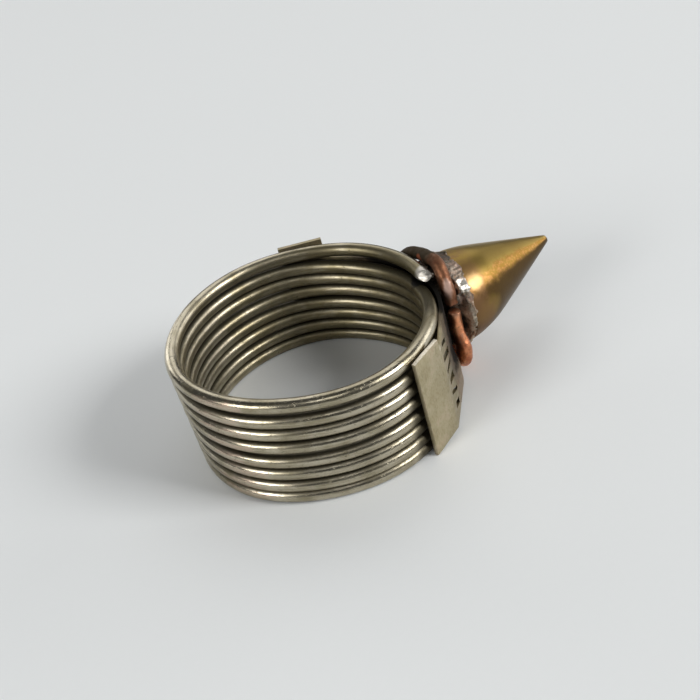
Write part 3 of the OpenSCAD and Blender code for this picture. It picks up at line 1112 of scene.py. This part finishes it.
class RING_OT_solder(Operator):
    """Adds the lumpy solder round the spike's skirt and where the wires meet"""

    bl_idname = "ring.solder"
    bl_label = "Solder"

    def execute(self, context):
        s = context.scene.ring_solder
        spike = context.scene.ring_spike
        out = spike.radius - COAT_START * MM + s.coat
        rings = [(radius * MM, height * MM) for radius, height in PAD_RINGS]
        rings += [(out - inset * MM, height * MM) for inset, height in COAT_RINGS]
        rings.append((out, spike.skirt - RIM_DROP * MM))
        rings.append((spike.radius - COAT_INSIDE * MM, spike.skirt - RIM_INNER_DROP * MM))
        sleeve = turned("sleeve", rings, SLEEVE_SIDES, Matrix.Identity(4))
        edit(sleeve)
        pick("VERT", lambda v: v.co.z > spike.skirt - RIM_PART_DROP * MM)
        bpy.ops.transform.translate(value=(0, 0, s.rim - spike.skirt + RIM_DROP * MM))
        bpy.ops.transform.rotate(value=-s.rim_tilt, orient_axis="Y", center_override=(0, 0, s.rim))
        bpy.ops.transform.vertex_random(offset=s.torn, uniform=0.3, seed=7)
        leave_edit()
        place_on(sleeve, spike_matrix(spike) @ Matrix.Rotation(-s.rim_bearing, 4, "Z"))
        obj = joined(sleeve, *(blob(*lump) for lump in LUMPS))
        modify(obj, "REMESH", mode="VOXEL", voxel_size=s.voxel)
        modify(obj, "SMOOTH", factor=0.5, iterations=3)
        lumpy(obj, s.lumps, SOLDER_GRAIN * MM)
        metal = solder_metal(context.scene.ring_colours)
        finish_piece(obj, "solder", metal, "solder", "solder_collar", angle=50)
        return {"FINISHED"}


# The stage

CAMERA_PLACE = Vector((-23.05, -64.24, 51.71)) * MM
CAMERA_RIGHT = Vector((0.8540, -0.4848, -0.1890))
CAMERA_UP = Vector((0.4187, 0.4244, 0.8029))
CAMERA_BACK = Vector((-0.3090, -0.7647, 0.5654))
SENSOR_WIDTH = 36  # In mm
CLIP_START, CLIP_END = 0.002, 20.0
FLOOR_SIZE = 6.0
ROOM_TINT = (0.93, 0.96, 1.0, 1.0)
LAMP_DISTANCE = 1.5
# Columns: name, bearing and elevation in degrees, width and height in metres
LAMPS = (
    ("key", 315, 32, 0.6, 0.6),
    ("left", 192, 24, 0.6, 0.5),
    ("right", 2, 15, 1.5, 0.7),
    ("back", 102, 15, 0.7, 0.7),
    ("top", 60, 45, 1.3, 1.3),
    ("front", 247, 50, 0.5, 0.5),
)


def soft_lamp(name, bearing, elevation, wide, high, energy):
    """A soft lamp that looks at the ring from a bearing and an elevation, in degrees."""
    a, e = math.radians(bearing), math.radians(elevation)
    way = Vector((math.cos(a) * math.cos(e), math.sin(a) * math.cos(e), math.sin(e)))
    bpy.ops.object.light_add(type="AREA", location=way * LAMP_DISTANCE)
    lamp = bpy.context.active_object
    lamp.name = name
    lamp.rotation_euler = way.to_track_quat("Z", "Y").to_euler()
    lamp.data.shape = "RECTANGLE"
    lamp.data.size = wide
    lamp.data.size_y = high
    lamp.data.energy = energy
    lamp.visible_camera = False


class RING_OT_stage(Operator):
    """Adds the pale floor, the soft lamps and the camera"""

    bl_idname = "ring.stage"
    bl_label = "Stage"

    def execute(self, context):
        s = context.scene.ring_stage
        bpy.ops.object.select_all(action="DESELECT")
        bpy.ops.mesh.primitive_plane_add(size=FLOOR_SIZE)
        floor = context.active_object
        floor.name = "floor"
        floor.data.materials.append(paper(context.scene.ring_colours))
        for name, bearing, elevation, wide, high in LAMPS:
            soft_lamp(name + " lamp", bearing, elevation, wide, high, getattr(s, name))
        world = bpy.data.worlds.new("studio")
        context.scene.world = world
        world.use_nodes = True
        background = world.node_tree.nodes["Background"]
        background.inputs["Color"].default_value = ROOM_TINT
        background.inputs["Strength"].default_value = s.world
        bpy.ops.object.camera_add()
        camera = context.active_object
        columns = Matrix((CAMERA_RIGHT, CAMERA_UP, CAMERA_BACK)).transposed()
        camera.matrix_world = Matrix.Translation(CAMERA_PLACE) @ columns.to_4x4()
        camera.data.lens = s.lens
        camera.data.sensor_width = SENSOR_WIDTH
        camera.data.clip_start = CLIP_START
        camera.data.clip_end = CLIP_END
        context.scene.camera = camera
        context.scene.view_settings.view_transform = "Standard"
        return {"FINISHED"}


class RING_PT_panel(Panel):
    """Lists the ring's settings and the buttons that build it"""

    bl_label = "Statement Ring"
    bl_space_type = "VIEW_3D"
    bl_region_type = "UI"
    bl_category = "Ring"

    def draw(self, context):
        for operator, group in BUILD_ORDER:
            box = self.layout.box()
            box.operator(operator.bl_idname)
            settings = getattr(context.scene, group)
            for name in settings.__annotations__:
                box.prop(settings, name)
        colours = self.layout.box()
        for name in RingColours.__annotations__:
            colours.prop(context.scene.ring_colours, name)


GROUPS = {
    "ring_colours": RingColours,
    "ring_coil": CoilSettings,
    "ring_strap": StrapSettings,
    "ring_copper": CopperSettings,
    "ring_spike": SpikeSettings,
    "ring_solder": SolderSettings,
    "ring_stage": StageSettings,
}
BUILD_ORDER = (
    (RING_OT_coil, "ring_coil"),
    (RING_OT_strap, "ring_strap"),
    (RING_OT_copper, "ring_copper"),
    (RING_OT_spike, "ring_spike"),
    (RING_OT_solder, "ring_solder"),
    (RING_OT_stage, "ring_stage"),
)
CLASSES = (*GROUPS.values(), *(operator for operator, _ in BUILD_ORDER), RING_PT_panel)


def register():
    for cls in CLASSES:
        bpy.utils.register_class(cls)
    for name, group in GROUPS.items():
        setattr(bpy.types.Scene, name, PointerProperty(type=group))


def unregister():
    for name in GROUPS:
        delattr(bpy.types.Scene, name)
    for cls in reversed(CLASSES):
        bpy.utils.unregister_class(cls)


def main():
    register()
    for operator, _ in BUILD_ORDER:
        group, action = operator.bl_idname.split(".")
        getattr(getattr(bpy.ops, group), action)()


if __name__ == "__main__":
    main()
